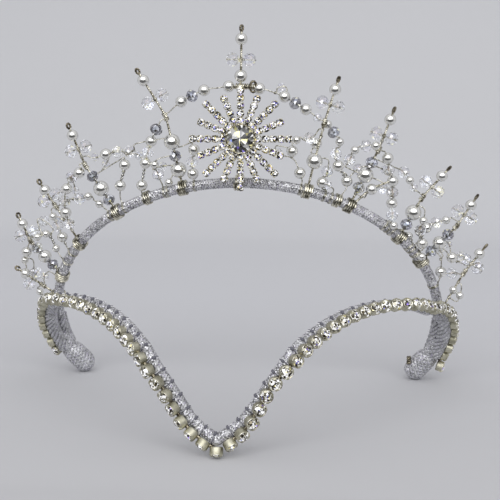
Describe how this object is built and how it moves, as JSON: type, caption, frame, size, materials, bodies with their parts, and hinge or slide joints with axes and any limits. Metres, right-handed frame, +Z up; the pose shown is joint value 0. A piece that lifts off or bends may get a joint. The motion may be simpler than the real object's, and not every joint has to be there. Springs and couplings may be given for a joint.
{
  "type": "ballet headpiece",
  "caption": "Wire headpiece for ballet with two wrapped bands, beaded spikes, a starburst brooch and a rhinestone trim on the dipping front band.",
  "frame": {"origin": "under the middle of the bounding box, in the plane that the headpiece stands on", "axes": "+Z up; +Y from the forehead to the back of the head; +X across the head, to the right as seen from the front"},
  "size_m": [0.1811, 0.1102, 0.1324],
  "materials": {
    "braid": "silver-grey metallic braid wrapped over wire",
    "wire": "silver-plated wire with a warm cast",
    "pearl": "white pearl lustre",
    "clear_crystal": "faceted clear crystal with a faint rainbow coating",
    "grey_crystal": "faceted smoke-grey crystal",
    "brooch_metal": "rhodium-like plating set with small stones",
    "brooch_stone": "large foiled brilliant",
    "cup_chain": "pale plated cups with foiled brilliants"
  },
  "bodies": {
    "root": {"crown_band": "braid", "front_band": "braid", "end_grip_left": "braid", "end_grip_right": "braid", "end_knob": "wire", "spike_wire_left_5": "wire", "spike_wire_left_4": "wire", "spike_wire_left_3": "wire", "spike_wire_left_2": "wire", "spike_wire_left_1": "wire", "spike_wire_centre": "wire", "spike_wire_right_1": "wire", "spike_wire_right_2": "wire", "spike_wire_right_3": "wire", "spike_wire_right_4": "wire", "spike_wire_right_5": "wire", "spike_pearl_left_4": "pearl", "spike_pearl_left_2": "pearl", "spike_pearl_left_1": "pearl", "spike_pearl_centre": "pearl", "spike_pearl_right_1": "pearl", "spike_pearl_right_2": "pearl", "spike_pearl_right_3": "pearl", "spike_pearl_right_4": "pearl", "spike_pearl_right_5": "pearl", "tip_pearl_left_5": "pearl", "tip_pearl_left_4": "pearl", "tip_pearl_left_3": "pearl", "tip_pearl_left_2": "pearl", "tip_pearl_left_1": "pearl", "tip_pearl_centre": "pearl", "tip_pearl_right_1": "pearl", "tip_pearl_right_2": "pearl", "tip_pearl_right_3": "pearl", "tip_pearl_right_4": "pearl", "tip_pearl_right_5": "pearl", "grey_crystals_left": "grey_crystal", "grey_crystals_right": "grey_crystal", "clear_crystals_left": "clear_crystal", "clear_crystals_right": "clear_crystal", "strand_pearls_left": "pearl", "strand_pearls_right": "pearl", "strand_wires_left": "wire", "strand_wires_right": "wire", "brooch_frame": "brooch_metal", "brooch_stone": "brooch_stone", "rhinestone_trim_left": "cup_chain", "rhinestone_trim_right": "cup_chain"}
  },
  "joints": []
}
